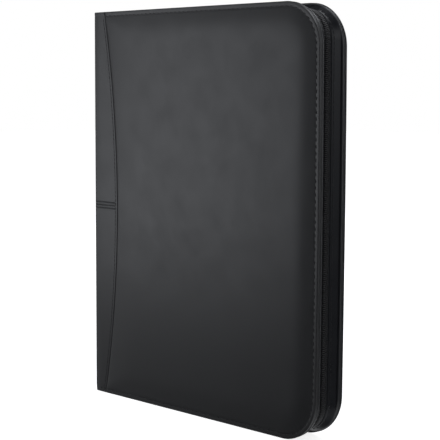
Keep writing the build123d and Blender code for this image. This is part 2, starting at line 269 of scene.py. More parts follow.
def weaveGroup():
    # plain weave: warp and weft threads that go over and under each other
    group, given, out = newGroup("clothWeave", {"Threads": 2600.0, "Slub": 0.3}, ("Height", "Tone"))
    x, y, z = addNode(group, "ShaderNodeSeparateXYZ", {"Vector": objectPlace(group)}).outputs
    across = mathNode(group, "ADD", x, y)
    upward = mathNode(group, "SUBTRACT", z, mathNode(group, "MULTIPLY", y, 0.4))
    warp = mathNode(group, "SINE", mathNode(group, "MULTIPLY", across, given["Threads"]))
    weft = mathNode(group, "SINE", mathNode(group, "MULTIPLY", upward, given["Threads"]))
    cross = mathNode(group, "MULTIPLY_ADD", mathNode(group, "MULTIPLY", warp, weft), 0.5, 0.5)
    fuzz = noise(group, *texture["fuzz"])
    height = mathNode(group, "MULTIPLY_ADD", fuzz, given["Slub"], cross)
    feed(group, out, {"Height": height, "Tone": mathNode(group, "MULTIPLY", cross, fuzz)})
    return group


def wearGroup():
    # where edges stand proud and rub
    group, given, out = newGroup("edgeRub", {"Start": 0.51, "End": 0.6}, ("Mask",))
    proud = addNode(group, "ShaderNodeNewGeometry").outputs["Pointiness"]
    reach = rangeNode(group, proud, given["Start"], given["End"])
    feed(group, out, {"Mask": mathNode(group, "MULTIPLY", reach, noise(group, *texture["rub"]))})
    return group


grain, weave, rub = grainGroup(), weaveGroup(), wearGroup()


def newFinish(name):
    finish = bpy.data.materials.new(name)
    finish.use_nodes = True
    return finish, finish.node_tree


def dress(finish, bump=None, **values):
    # links and values for the finish's shader, and its bump: height, strength and distance
    tree = finish.node_tree
    values = {socket.replace("_", " "): value for socket, value in values.items()}
    if bump:
        height, strength, distance = bump
        relief = {"Height": height, "Strength": strength, "Distance": distance * mm}
        values["Normal"] = addNode(tree, "ShaderNodeBump", relief).outputs["Normal"]
    feed(tree, tree.nodes["Principled BSDF"].inputs, values)
    return finish


def leatherFinish(name, rubbed=(0.03, 0.03, 0.032), **look):
    finish, tree = newFinish(name)
    hide = placeGroup(tree, grain, Pebbles=look["pebbles"], Patches=look["patches"])
    worn = mathNode(tree, "MULTIPLY", placeGroup(tree, rub)["Mask"], look["rub"])
    tone = mixColour(tree, hide["Tone"], look["dark"], look["light"])
    low, high = (look["roughness"] + s * look["uneven"] for s in (-1, 1))
    return dress(
        finish,
        bump=(hide["Height"], look["bump"], 0.1),
        Base_Color=mixColour(tree, worn, tone, rubbed),
        Roughness=rangeNode(tree, hide["Gloss"], 0.3, 0.7, low=low, high=high),
        Specular_IOR_Level=look["specular"],
    )


def clothFinish(name, **look):
    finish, tree = newFinish(name)
    cloth = placeGroup(tree, weave, Threads=look["threads"], Slub=look["slub"])
    return dress(
        finish,
        bump=(cloth["Height"], look["bump"], 0.15),
        Base_Color=mixColour(tree, cloth["Tone"], look["dark"], look["light"]),
        Roughness=mathNode(tree, "MULTIPLY_ADD", cloth["Tone"], -0.25, look["roughness"]),
        Specular_IOR_Level=0.3,
        Sheen_Weight=look["sheen"],
        Sheen_Roughness=0.45,
    )


def metalFinish(name, **look):
    # black lacquer over metal, thin on the edges
    finish, tree = newFinish(name)
    bare = mathNode(tree, "MULTIPLY", placeGroup(tree, rub)["Mask"], look["rub"], clamp=True)
    smear = noise(tree, *texture["smear"])
    return dress(
        finish,
        bump=(smear, 0.15, 0.05),
        Base_Color=mixColour(tree, bare, look["paint"], look["bare"]),
        Metallic=bare,
        Roughness=mathNode(tree, "MULTIPLY_ADD", smear, 0.2, look["roughness"]),
        Specular_IOR_Level=0.6,
    )


def fibreFinish(name, **look):
    # pressed fibre: board and card
    finish, tree = newFinish(name)
    flecks, felt = noise(tree, look["flecks"], 6.0), noise(tree, *texture["felt"])
    tone = rangeNode(tree, mathNode(tree, "MULTIPLY", flecks, felt), 0.12, 0.4)
    return dress(
        finish,
        bump=(flecks, look["bump"], 0.1),
        Base_Color=mixColour(tree, tone, look["dark"], look["light"]),
        Roughness=mathNode(tree, "MULTIPLY_ADD", felt, 0.15, look["roughness"]),
        Specular_IOR_Level=0.25,
    )


def paperFinish(name, **look):
    # white sheets: faint blue rules and a red margin on the face, painted shade lines between the pages on the
    # cut edges
    finish, tree = newFinish(name)
    x, y, z = addNode(tree, "ShaderNodeSeparateXYZ", {"Vector": objectPlace(tree)}).outputs
    normal = addNode(tree, "ShaderNodeNewGeometry").outputs["Normal"]
    facing = addNode(tree, "ShaderNodeSeparateXYZ", {"Vector": normal}).outputs["Y"]
    face = mathNode(tree, "GREATER_THAN", mathNode(tree, "ABSOLUTE", facing), 0.7)
    step = mathNode(tree, "FRACT", mathNode(tree, "DIVIDE", z, look["pitch"] * mm))
    rule = mathNode(tree, "LESS_THAN", step, look["rule"] / look["pitch"])
    rule = mathNode(tree, "MULTIPLY", rule, mathNode(tree, "LESS_THAN", z, look["head"] * mm))
    off = mathNode(tree, "ABSOLUTE", mathNode(tree, "SUBTRACT", x, look["margin"] * mm))
    margin = mathNode(tree, "LESS_THAN", off, look["rule"] / 2 * mm)
    # painted shade: fine dark lines between the sheets, drawn on the cut edges
    pages = mathNode(tree, "SINE", mathNode(tree, "MULTIPLY", y, look["pages"]))
    pages = mathNode(tree, "GREATER_THAN", pages, 0.55)
    fibres = noise(tree, *texture["fibres"])
    tone = mixColour(tree, fibres, look["dark"], look["light"])
    edge = mathNode(tree, "SUBTRACT", 1.0, face)
    for mask, where, strength, colour in (
        (pages, edge, 0.35, "shade"), (rule, face, 0.75, "blue"), (margin, face, 0.7, "red"),
    ):
        drawn = mathNode(tree, "MULTIPLY", mathNode(tree, "MULTIPLY", mask, where), strength)
        tone = mixColour(tree, drawn, tone, look[colour])
    bump = (fibres, 0.12, 0.05)
    return dress(finish, bump, Base_Color=tone, Roughness=0.75, Specular_IOR_Level=0.25)


def vinylFinish(name):
    finish, tree = newFinish(name)
    waves = noise(tree, *texture["waves"])
    return dress(
        finish,
        bump=(waves, 0.3, 0.6),
        Base_Color=(0.93, 0.95, 0.96, 1),
        Roughness=mathNode(tree, "MULTIPLY_ADD", waves, 0.12, 0.04),
        Metallic=0.0,
        IOR=1.45,
        Transmission_Weight=1.0,
    )


coverSkin = leatherFinish(
    "coverLeather", dark=(0.0068, 0.0071, 0.0079), light=(0.0088, 0.0091, 0.0099), rub=0.25, roughness=0.36,
    uneven=0.035, specular=0.5, pebbles=1500.0, patches=9.0, bump=0.1,
)
trimSkin = leatherFinish(
    "trimLeather", dark=(0.0095, 0.01, 0.0112), light=(0.0125, 0.013, 0.0142), rub=0.3, roughness=0.42,
    uneven=0.05, specular=0.45, pebbles=1300.0, patches=25.0, bump=0.2,
)
weltSkin = leatherFinish(
    "weltLeather", dark=(0.0095, 0.01, 0.0115), light=(0.0125, 0.013, 0.0148), rub=0.3, roughness=0.36,
    uneven=0.04, specular=0.62, pebbles=1300.0, patches=25.0, bump=0.12,
)
# darker, bluer copy of the leather for the side walls: the blue tint is the gusset's own colour, the extra
# darkness is painted shade of the recess between the covers
shadedWallSkin = leatherFinish(
    "shadedWallLeather", dark=(0.0055, 0.006, 0.0078), light=(0.0075, 0.0082, 0.0102), rub=0.15, roughness=0.3,
    uneven=0.04, specular=0.3, pebbles=1300.0, patches=25.0, bump=0.15,
)
threadFinish = clothFinish(
    "blackThread", dark=(0.006, 0.006, 0.007), light=(0.02, 0.02, 0.022), threads=9000.0, slub=0.5,
    roughness=0.6, sheen=0.1, bump=0.4,
)
liningCloth = clothFinish(
    "liningCloth", dark=(0.02, 0.0205, 0.022), light=(0.075, 0.076, 0.08), threads=5200.0, slub=0.35,
    roughness=0.72, sheen=0.12, bump=0.5,
)
tapeCloth = clothFinish(
    "zipTapeCloth", dark=(0.005, 0.0054, 0.0066), light=(0.019, 0.02, 0.024), threads=7000.0, slub=0.25,
    roughness=0.6, sheen=0.08, bump=0.6,
)
elasticCloth = clothFinish(
    "elasticBand", dark=(0.007, 0.007, 0.008), light=(0.03, 0.03, 0.032), threads=4200.0, slub=0.3,
    roughness=0.7, sheen=0.12, bump=0.8,
)
bindingCloth = clothFinish(
    "bindingTape", dark=(0.012, 0.012, 0.013), light=(0.04, 0.04, 0.043), threads=3800.0, slub=0.3,
    roughness=0.65, sheen=0.05, bump=0.4,
)
nylonFinish = leatherFinish(
    "zipNylon", (0.03, 0.03, 0.03), dark=(0.009, 0.009, 0.01), light=(0.012, 0.012, 0.013), rub=0.15,
    roughness=0.34, uneven=0.04, specular=0.5, pebbles=6000.0, patches=60.0, bump=0.05,
)
blackMetal = metalFinish(
    "blackMetal", paint=(0.012, 0.012, 0.013), bare=(0.42, 0.41, 0.4), rub=0.7, roughness=0.22
)
greyBoard = fibreFinish(
    "greyBoard", dark=(0.1, 0.095, 0.085), light=(0.24, 0.225, 0.2), flecks=1100.0, roughness=0.75, bump=0.4
)
padCardFinish = fibreFinish(
    "padCard", dark=(0.27, 0.21, 0.15), light=(0.47, 0.39, 0.3), flecks=900.0, roughness=0.7, bump=0.3
)
paperWhite = paperFinish(
    "padPaper", pitch=7.1, rule=0.32, head=276.0, margin=-66.0, pages=62000.0, dark=(0.8, 0.8, 0.77),
    light=(0.88, 0.88, 0.86), shade=(0.5, 0.5, 0.48), blue=(0.33, 0.47, 0.66), red=(0.7, 0.3, 0.3),
)
clearVinyl = vinylFinish("clearVinyl")
print("finishes made")


# Mesh helpers
def bowed(x, z):
    # the soft fore edge bows out a little at half height
    return x + case["bow"] * max(0.0, x / case["fore"]) ** 2 * (1 - (2 * z / case["height"] - 1) ** 2)


def makePiece(name, verts, faces, finish, sharp=42):
    mesh = bpy.data.meshes.new(name)
    mesh.from_pydata([(bowed(x, z) * mm, y * mm, z * mm) for x, y, z in verts], [], faces)
    shape = bmesh.new()
    shape.from_mesh(mesh)
    bmesh.ops.remove_doubles(shape, verts=shape.verts, dist=1e-7)
    bmesh.ops.recalc_face_normals(shape, faces=shape.faces)
    shape.to_mesh(mesh)
    shape.free()
    mesh.polygons.foreach_set("use_smooth", [True] * len(mesh.polygons))
    mesh.set_sharp_from_angle(angle=math.radians(sharp))
    mesh.materials.append(finish)
    piece = bpy.data.objects.new(name, mesh)
    scene.collection.objects.link(piece)
    return piece


def settle(piece, body, slot, *nodes):
    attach(piece, body)
    if nodes:
        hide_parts(*nodes)
    return piece


def coverPiece(cover, part, mesh, finish, slot, *nodes, sharp=42):
    # a piece of one cover, in place of that cover's CAD nodes
    piece = makePiece(cover + part, *mesh, finish, sharp)
    return settle(piece, cover + "_cover", slot, *(cover + "_" + node for node in nodes))


def ringFaces(first, n, rings):
    # faces between rings of n points that follow each other
    return [
        (a + i, a + (i + 1) % n, a + n + (i + 1) % n, a + n + i)
        for a in range(first, first + (rings - 1) * n, n)
        for i in range(n)
    ]


def tubeFaces(first, n, rings):
    # the same, with both ends closed
    last = first + (rings - 1) * n
    return ringFaces(first, n, rings) + [tuple(range(first, first + n)), tuple(range(last, last + n))]


def sheetFaces(w, h):
    # an outer and an inner grid of h rows of w points, joined round the rim
    n, faces = w * h, []
    for a in (j * w + i for j in range(h - 1) for i in range(w - 1)):
        faces += [(a, a + 1, a + w + 1, a + w), (n + a, n + a + w, n + a + w + 1, n + a + 1)]
    rim = [*range(w), *range(2 * w - 1, n, w), *range(n - 2, n - w - 1, -1), *range(n - 2 * w, 0, -w)]
    return faces + [(a, b, n + b, n + a) for a, b in zip(rim, rim[1:] + rim[:1])]


def ringPoints(centre, u, v, n, turn=0.0):
    angles = [2 * math.pi * (i + turn) / n for i in range(n)]
    return [tuple(centre + u * math.cos(a) + v * math.sin(a)) for a in angles]


def edgeRun(radius, start, step, turns):
    # stations round bottom, fore edge and top: a point on the cover's edge and the way out of the case
    fore, high = case["fore"], case["height"]
    middle = fore - radius
    flat, side = max(1, round((middle - start) / step)), max(1, round((high - 2 * radius) / step))

    def corner(level, turn):
        outs = [(math.cos(a), math.sin(a)) for a in spread(turn, turn + math.pi / 2, turns)[:-1]]
        return [(middle + radius * ox, level + radius * oz, ox, oz) for ox, oz in outs]

    run = [(x, 0.0, 0.0, -1.0) for x in spread(start, middle, flat)[:-1]] + corner(radius, -math.pi / 2)
    run += [(fore, z, 1.0, 0.0) for z in spread(radius, high - radius, side)[:-1]]
    run += corner(high - radius, 0.0)
    return run + [(x, high, 0.0, 1.0) for x in spread(middle, start, flat)]


def insetPoint(station, d, y=0.0):
    x, z, ox, oz = station
    return Vector((x - d * ox, y, z - d * oz))


def sweepRun(run, section, side, inset=None):
    # closed section of (inset, level) points carried along a run, closed at both ends
    verts = []
    for x, z, ox, oz in run:
        for d, t in section:
            d += inset(x, t) if inset else 0.0
            verts.append((x - d * ox, side * t, z - d * oz))
    return verts, tubeFaces(0, len(section), len(run))


def foreSides(inset, leftOf, counts):
    # four sides of a cover-shaped loop: bottom, fore, top and left
    flat, rise, turn = counts
    r, fore, high = case["corner"] - inset, case["fore"] - inset, case["height"]
    cx, low, top = case["fore"] - case["corner"], case["corner"], high - case["corner"]
    bottom = [(x, inset) for x in spread(leftOf(inset), cx, flat)[:-1]] + arc(cx, low, r, -90, -45, turn)
    right = arc(cx, low, r, -45, 0, turn)[:-1] + [(fore, z) for z in spread(low, top, rise)[:-1]]
    right += arc(cx, top, r, 0, 45, turn)
    upper = arc(cx, top, r, 45, 90, turn)[:-1]
    upper += [(x, high - inset) for x in spread(cx, leftOf(high - inset), flat)]
    left = [(leftOf(z), z) for z in spread(high - inset, inset, rise + 2 * turn)]
    return bottom, right, upper, left


def fillPatch(sides):
    # points inside four sides, row by row from the bottom to the top
    bottom, right, upper, left = sides
    upper, left = upper[::-1], left[::-1]
    nu, nv = len(bottom) - 1, len(right) - 1
    rows = []
    for j in range(nv + 1):
        v, row = j / nv, []
        for i in range(nu + 1):
            u = i / nu
            point = []
            for c in (0, 1):
                edge = (1 - v) * bottom[i][c] + v * upper[i][c] + (1 - u) * left[j][c] + u * right[j][c]
                twist = (1 - u) * (1 - v) * bottom[0][c] + u * (1 - v) * bottom[-1][c]
                twist += (1 - u) * v * upper[0][c] + u * v * upper[-1][c]
                point.append(edge - twist)
            row.append(tuple(point))
        rows.append(row)
    return rows


def ringSheet(sidesOf, rings, side, levelOf):
    # closed sheet: an under face, rings of (inset, level or None) over the rim, then a filled middle
    verts = []
    for inset, level in rings:
        loop = [p for edge in sidesOf(inset) for p in edge[:-1]]
        verts += [(x, side * (levelOf(x, z) if level is None else level), z) for x, z in loop]
    faces = ringFaces(0, len(loop), len(rings)) + [tuple(range(len(loop)))[::-1]]
    rows = fillPatch(sidesOf(rings[-1][0]))
    first, width = len(verts), len(rows[0])
    verts += [(x, side * levelOf(x, z), z) for row in rows for x, z in row]
    for a in (first + j * width + i for j in range(len(rows) - 1) for i in range(width - 1)):
        faces.append((a, a + 1, a + width + 1, a + width))
    return verts, faces


def pathLength(path):
    return sum((b[0] - a[0]).length for a, b in zip(path, path[1:]))


def walkPath(path, places):
    # points at rising lengths along a finely sampled path of (point, out) pairs
    lengths = [0.0]
    for (a, _), (b, _) in zip(path, path[1:]):
        lengths.append(lengths[-1] + (b - a).length)
    found, k = [], 0
    for s in places:
        while k < len(path) - 2 and lengths[k + 1] < s:
            k += 1
        u = (s - lengths[k]) / max(lengths[k + 1] - lengths[k], 1e-9)
        point = path[k][0].lerp(path[k + 1][0], u)
        out = path[k][1].lerp(path[k + 1][1], u).normalized()
        found.append((point, out, (path[k + 1][0] - path[k][0]).normalized()))
    return found


def roundedBlock(name, low, high, rounding, finish):
    # block with softened edges, as a folded and pressed end of leather
    shape = bmesh.new()
    bmesh.ops.create_cube(shape, size=1.0)
    for v in shape.verts:
        v.co = Vector([(a + b) / 2 + c * (b - a) for a, b, c in zip(low, high, v.co)])
    soften = {"offset": rounding, "segments": 4, "profile": 0.5, "affect": "EDGES", "clamp_overlap": True}
    bmesh.ops.bevel(shape, geom=shape.edges[:], **soften)
    verts = [tuple(v.co) for v in shape.verts]
    shape.verts.index_update()
    faces = [tuple(v.index for v in f.verts) for f in shape.faces]
    shape.free()
    return makePiece(name, verts, faces, finish)


def crispNode(name, finish, width=0.0):
    # a hard CAD part keeps its shape, with its edges eased and its own finish
    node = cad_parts[name]
    node.modifiers.new("weld", "WELD").merge_threshold = 1e-6
    if width:
        ease = node.modifiers.new("ease", "BEVEL")
        ease.width, ease.segments = width * mm, 3
        ease.limit_method, ease.angle_limit = "ANGLE", math.radians(35)
    node.data.materials.clear()
    node.data.materials.append(finish)


# Cover skins: a flat sewn edge with a rolled rim, a stitched groove, and the padding that swells inside it
skin = {
    "rim": [
        (0.0, 15.2), (0.02, 15.45), (0.1, 15.64), (0.28, 15.78), (0.5, 15.84), (0.8, 15.86), (1.3, 15.86),
        (1.72, 15.86), (1.88, 15.855), (2.4, 15.84), (2.55, 15.82), (2.75, 15.76), (2.95, 15.71), (3.15, 15.68),
        (3.35, 15.665), (3.6, 15.66), (3.9, 15.67), (4.3, 15.7), (4.8, 15.76), (5.4, 15.84),
    ],
    "pressed": [  # the rim where the case stands on it
        (0.0, 15.12), (0.02, 15.2), (0.1, 15.25), (0.28, 15.28), (0.5, 15.3), (0.8, 15.32), (1.3, 15.35),
        (2.0, 15.385), (2.6, 15.42), (3.1, 15.44), (3.6, 15.5), (4.6, 15.68), (5.4, 15.84),
    ],
    "standTurn": (25.0, 65.0),  # degrees round the lower fore corner, where the rim lifts off the ground
    "under": [(1.6, 14.6), (0.5, 14.6), (0.06, 14.65)],
    "slopeEnd": 10.0,  # the padding falls evenly up to here and rounds off to the flat by the next
    "flatFrom": 26.0,
    "inner": [6.2, 7.2, 8.5, 10.0, 12.0, 14.0, 16.0, 18.5, 21.0, 23.5, 26.0],
    "seam": [
        (-3.2, 14.7), (-0.8, 14.8), (-0.1, 15.2), (0.35, 15.52), (0.9, 15.7), (2.0, 15.88), (5.0, 16.12),
        (10.0, 16.42), (20.0, 16.85), (30.0, 17.1), (45.0, 17.25),
    ],
    "seamBlend": 0.35,
    "tuck": 2.6,  # the panel runs this far under the wrap
    "counts": (160, 220, 26),
    "stitchFrom": -127.0,
    "stitchInset": 3.55,
    "stitchPitch": 5.2,
    "pit": (0.17, 3.65, 0.6),  # how far a stitch draws the leather in, where, and how wide
    "pucker": 0.05,
    "puckerFrom": 1.6,
    "puckerRise": (3.4, 4.6),
    "puckerFall": (4.6, 14.0),
    "puckerAlong": 0.45,  # share of the ripples along the straight edges
    "puckerWave": (0.6, 0.4, 0.23, 1.7),  # their mean, swing, turn per millimetre and start
}


def standing(x, z):
    # 1 along the lower edge, falling to 0 round the lower fore corner
    r, middle = case["corner"], case["fore"] - case["corner"]
    if z > r or x <= middle:
        return 1.0 if z < r else 0.0
    return 1 - easeStep(*skin["standTurn"], math.degrees(math.atan2(x - middle, r - z)))


def rollLevel(d, stand):
    # level of the padding at a distance from the edge
    start, first = skin["rim"][-1]
    if d <= start:
        return (1 - stand) * readTable(skin["rim"], d) + stand * readTable(skin["pressed"], d)
    even, reach = skin["slopeEnd"] - start, skin["flatFrom"] - skin["slopeEnd"]
    slope = (case["crown"] - first) / (even + reach / 2)
    if d <= skin["slopeEnd"]:
        return first + slope * (d - start)
    u = min(d, skin["flatFrom"]) - skin["slopeEnd"]
    return first + slope * (even + u - u * u / (2 * reach))


def stitchRun(x, z):
    # length along the edge's stitched line, up to the place beside a point near it
    r, middle, high = case["corner"], case["fore"] - case["corner"], case["height"]
    bend, flat = r - skin["stitchInset"], middle - skin["stitchFrom"]
    quarter, rise = bend * math.pi / 2, high - 2 * r
    if x <= middle:
        along = x - skin["stitchFrom"]
        return along if z < high / 2 else 2 * (flat + quarter) + rise - along
    zc = min(max(z, r), high - r)
    return flat + quarter + zc - r + bend * math.atan2(z - zc, x - middle)


def puckerAt(x, z, d):
    # leather drawn in under each stitch, and ripples beside it, strongest round the fore corners
    if not skin["puckerFrom"] < d < skin["puckerFall"][1]:
        return 0.0
    run = stitchRun(x, z)
    beat = math.cos(2 * math.pi * run / skin["stitchPitch"])
    rounding = x > case["fore"] - case["corner"] and min(z, case["height"] - z) < case["corner"]
    ripple = skin["pucker"] * (1.0 if rounding else skin["puckerAlong"])
    ripple *= easeStep(*skin["puckerRise"], d) * (1 - easeStep(*skin["puckerFall"], d))
    mean, swing, turn, start = skin["puckerWave"]
    ripple *= mean + swing * math.sin(run * turn + start)
    return -dent(skin["pit"], d) * max(0.0, -beat) - ripple * beat


def panelLevel(x, z):
    d = edgeDepth(x, z)
    level = softMin(rollLevel(d, standing(x, z)), readTable(skin["seam"], x - seamX(z)), skin["seamBlend"])
    return level + puckerAt(x, z, d)


def panelSides(inset):
    return foreSides(inset, lambda z: seamX(z) - skin["tuck"] + inset, skin["counts"])


for name, side in covers:
    rings = skin["under"] + [(d, None) for d in [place for place, _ in skin["rim"]] + skin["inner"]]
    mesh = ringSheet(panelSides, rings, side, panelLevel)
    coverPiece(name, "Panel", mesh, coverSkin, "black_leather", "leather", "foam", sharp=50)
print("padded panels made")


# Spine wrap: one hide from the front seam round the spine to the back seam, cut here at the folds.
# A place on it is its distance from the middle of the spine, along the outside.
wrap = {
    "thick": 1.0,
    "foldFrom": 12.4,
    "foldTo": 19.5,
    "lap": [
        (0.0, -0.6), (0.04, -0.28), (0.14, -0.1), (0.35, -0.01), (0.7, 0.03), (1.3, 0.03), (1.9, 0.01),
        (2.3, -0.035), (2.55, -0.05), (2.8, -0.035), (3.3, 0.0), (5.0, 0.01), (9.0, 0.0),
    ],
    "lapBlend": 0.15,
    "lapStitch": 2.55,  # from the seam
    "lapStitchEnds": 1.5,
    "foldDip": 0.6,  # the hide rounds down towards the fold
    "foldReach": 11.0,
    "flat": [(5.4, -0.07), (6.5, -0.02), (8.5, 0.0)],
    "lines": (-2.6, 0.0, 2.6),  # pressed lines at half height
    "linesHalf": 5.0,
    "lineHalf": 0.62,
    "lineFlat": 0.3,
    "lineDepth": 0.42,
    "lineEnd": (2.5, 3.3),  # from the seam
    "lineStart": (17.0, 18.2),
    "lineRows": (0.25, 0.5, 0.75, 1, 1.3),
    "rows": 60,
}
wrapEdge, wrapFoot = (
    [(d, t - case["face"]) for d, t in skin[edge][:-2]] + wrap["flat"] for edge in ("rim", "pressed")
)


def wrapRows():
    # heights of the mesh's rows: close at both ends and across the pressed lines
    half = case["height"] / 2
    near = [d for d, _ in wrapEdge]
    steps = [s * wrap["lineHalf"] * u for s in (-1, 1) for u in wrap["lineRows"]]
    lower = near + spread(near[-1], half - wrap["linesHalf"], wrap["rows"])[1:]
    lower += [half + line + step for line in wrap["lines"] for step in steps if line + step < 0]
    return sorted({round(z, 4) for z in lower + [half] + [case["height"] - z for z in lower]})


def wrapPoint(q, lift, z, side):
    a, r = abs(q), case["foldRound"]
    turn = r * math.pi / 2
    if a <= case["foldY"]:
        x, t, ox, ot = case["spine"], a, -1.0, 0.0
    elif a <= case["foldY"] + turn:
        angle = (a - case["foldY"]) / r
        ox, ot = -math.cos(angle), math.sin(angle)
        x, t = case["foldX"] + r * ox, case["foldY"] + r * ot
    else:
        x, t, ox, ot = case["foldX"] + a - case["foldY"] - turn, case["face"], 0.0, 1.0
    way = side if q >= 0 else -side
    return x + ox * lift, way * (t + ot * lift), z


def wrapPlace(x):
    # the place on the wrap of a point on a cover's face
    return x - case["foldX"] + case["foldY"] + case["foldRound"] * math.pi / 2


def wrapLift(q, z):
    half = case["height"] / 2
    lift = readTable(wrapFoot if z < half else wrapEdge, min(z, case["height"] - z))
    toSeam = wrapPlace(seamX(z)) - abs(q)
    lift = softMin(lift, readTable(wrap["lap"], toSeam), wrap["lapBlend"])
    turned = case["foldY"] + case["foldRound"] * math.pi / 4
    near = max(0.0, 1 - abs(abs(q) - turned) / wrap["foldReach"])
    lift -= wrap["foldDip"] * near * near
    if abs(z - half) < wrap["linesHalf"]:
        away = [abs(z - half - line) / wrap["lineHalf"] for line in wrap["lines"]]
        press = sum(1 - easeStep(wrap["lineFlat"], 1.0, d) for d in away)
        press *= easeStep(*wrap["lineEnd"], toSeam) * easeStep(*wrap["lineStart"], abs(q))
        lift -= wrap["lineDepth"] * press
    return lift


def wrapSheet(name, placesAt, side):
    # a thick piece of the wrap, with its outer face, its inner face and its rim
    outer, inner, rows = [], [], wrapRows()
    for z in rows:
        places = placesAt(z)
        outer += [wrapPoint(q, wrapLift(q, z), z, side) for q in places]
        inner += [wrapPoint(q, -wrap["thick"], z, side) for q in places]
    return makePiece(name, outer + inner, sheetFaces(len(places), len(rows)), coverSkin, sharp=50)


def flapPlaces(z):
    # columns from the fold to the seam, closest at the seam's lap
    end = wrapPlace(seamX(z))
    near = [end - d for d, _ in reversed(wrap["lap"])]
    return spread(wrap["foldTo"], near[0], 14)[:-1] + near


for name, side in covers:
    flap = wrapSheet(name + "Wrap", flapPlaces, side)
    settle(flap, name + "_cover", "black_leather", name + "_wrap_panel")
spineSkin = wrapSheet("spineSkin", lambda z: spread(-wrap["foldFrom"], wrap["foldFrom"], 24), back)
settle(spineSkin, "spine", "black_leather", "spine_wrap")
for name, side in covers:
    fold = wrapSheet(name + "FoldSkin", lambda z: spread(wrap["foldFrom"], wrap["foldTo"], 28), side)
    start, end = (wrapPoint(q, 0.0, case["height"] / 2, side) for q in (wrap["foldFrom"], wrap["foldTo"]))
    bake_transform(fold)
    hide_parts(name + "_fold")
print("spine wrap made")


# Turned ends of the spine, over the board and a hair beyond it
spineEnd = {"left": -132.0, "right": -129.2, "half": 12.9, "rise": 0.06, "depth": 2.0, "round": 0.5}
for name, z, way in (("spineFoot", 0.0, -1), ("spineHead", case["height"], 1)):
    bottom, top = sorted((z + way * spineEnd["rise"], z - way * spineEnd["depth"]))
    low = (spineEnd["left"], -spineEnd["half"], bottom)
    high = (spineEnd["right"], spineEnd["half"], top)
    settle(roundedBlock(name, low, high, spineEnd["round"], coverSkin), "spine", "black_leather")


# Welt: a corded strip round the rim, under the sewn edge
welt = {
    "run": (-128.8, 4.0, 40),  # start, step, and steps round a corner
    "section": [  # two cords, one behind the other
        (5.4, 14.58), (2.0, 14.58), (1.7, 14.38), (1.2, 14.3), (0.75, 14.2), (0.4, 14.04), (0.18, 13.82),
        (0.09, 13.55), (0.18, 13.28), (0.4, 13.06), (0.75, 12.92), (1.2, 12.86), (1.7, 12.78), (1.2, 12.7),
        (0.75, 12.62), (0.4, 12.46), (0.18, 12.2), (0.1, 11.9), (0.18, 11.58), (0.4, 11.34), (0.75, 11.2),
        (1.4, 11.18), (2.2, 11.3), (5.4, 11.9),
    ],
}
for name, side in covers:
    mesh = sweepRun(edgeRun(case["corner"], *welt["run"]), welt["section"], side)
    coverPiece(name, "Welt", mesh, weltSkin, "black_leather", "welt")


# Side walls: soft strips from the welt to the zip, each with a folded and stitched edge
wall = {
    "run": (-118.5, 4.0, 36),
    "stitchRun": (-117.5, 1.5, 50),
    "section": [
        (2.1, 12.2), (2.25, 11.4), (2.7, 10.4), (3.25, 9.3), (3.8, 8.2), (4.3, 7.2), (4.62, 6.55), (4.84, 6.15),
        (4.92, 5.85), (5.04, 5.4), (5.16, 4.9), (5.3, 4.5), (5.5, 4.25), (5.9, 4.1), (6.3, 4.2), (6.45, 4.9),
        (6.45, 6.0), (6.4, 8.0), (6.3, 10.0), (6.1, 12.2),
    ],
    "stitchLevel": 6.15,
    "stitchInset": 4.86,
}
wallRun = edgeRun(case["bend"], *wall["run"])
for name, side in covers:
    mesh = sweepRun(wallRun, wall["section"], side)
    coverPiece(name, "Wall", mesh, shadedWallSkin, "black_leather", "wall", sharp=55)
print("welts and walls made")


# Zip: two woven tapes, and two rows of coil teeth that mesh in the middle
zipper = {
    "tape": [
        (6.5, 10.5), (6.55, 8.9), (6.6, 7.6), (6.68, 6.5), (6.8, 5.8), (6.94, 5.2), (7.0, 4.6), (7.0, 3.9),
        (7.0, 3.2), (7.0, 2.4), (7.0, 0.2), (7.6, 0.2), (7.6, 2.4), (7.6, 3.2), (7.6, 3.9), (7.6, 4.6),
        (7.55, 5.4), (7.45, 6.0), (7.3, 6.7), (7.2, 7.8), (7.15, 9.0), (7.1, 10.5),
    ],
    "foreLift": 1.0,  # down the fore edge the tapes are drawn up beside the teeth
    "foreFrom": (100.0, 118.0),
    "liftFrom": (2.9, 3.6),
    "liftTo": (5.2, 6.4),
    "toothRun": (-114.3, 1.0, 60),
    "toothMiddle": 5.96,
    "pitch": 1.5,
    "tooth": [  # place across the zip, half width, half height and inset of each ring of one tooth
        (3.05, 0.3, 0.4, 6.55), (2.8, 0.48, 0.75, 6.25), (2.1, 0.56, 0.92, 6.07), (1.0, 0.5, 1.0, 5.98),
        (0.3, 0.37, 1.0, 5.93), (-0.15, 0.37, 0.88, 5.95), (-0.45, 0.3, 0.55, 6.0),
    ],
    "toothSides": 8,
}


def tapeInset(x, t):
    beside = easeStep(*zipper["liftFrom"], t) - easeStep(*zipper["liftTo"], t)
    return -zipper["foreLift"] * easeStep(*zipper["foreFrom"], x) * beside


for name, side in covers:
    mesh = sweepRun(wallRun, zipper["tape"], side, tapeInset)
    tape = coverPiece(name, "Tape", mesh, tapeCloth, "zip_tape", "tape", sharp=60)

# Each tooth is a rounded loop that reaches a little past the middle
for (name, side), shift in zip(covers, (0.25, 0.75)):
    d, pitch = zipper["toothMiddle"], zipper["pitch"]
    stations = edgeRun(case["bend"], *zipper["toothRun"])
    path = [(insetPoint(station, d), Vector((station[2], 0.0, station[3]))) for station in stations]
    places = [(k + shift) * pitch for k in range(int(pathLength(path) / pitch))]
    verts, faces = [], []
    for point, out, ahead in walkPath(path, places):
        faces += tubeFaces(len(verts), zipper["toothSides"], len(zipper["tooth"]))
        for t, half, high, inset in zipper["tooth"]:
            centre = point + out * (d - inset) + Vector((0.0, side * t, 0.0))
            verts += ringPoints(centre, ahead * half, out * high, zipper["toothSides"], 0.5)
    coverPiece(name, "Teeth", (verts, faces), nylonFinish, "zip_coil", "coil", sharp=80)

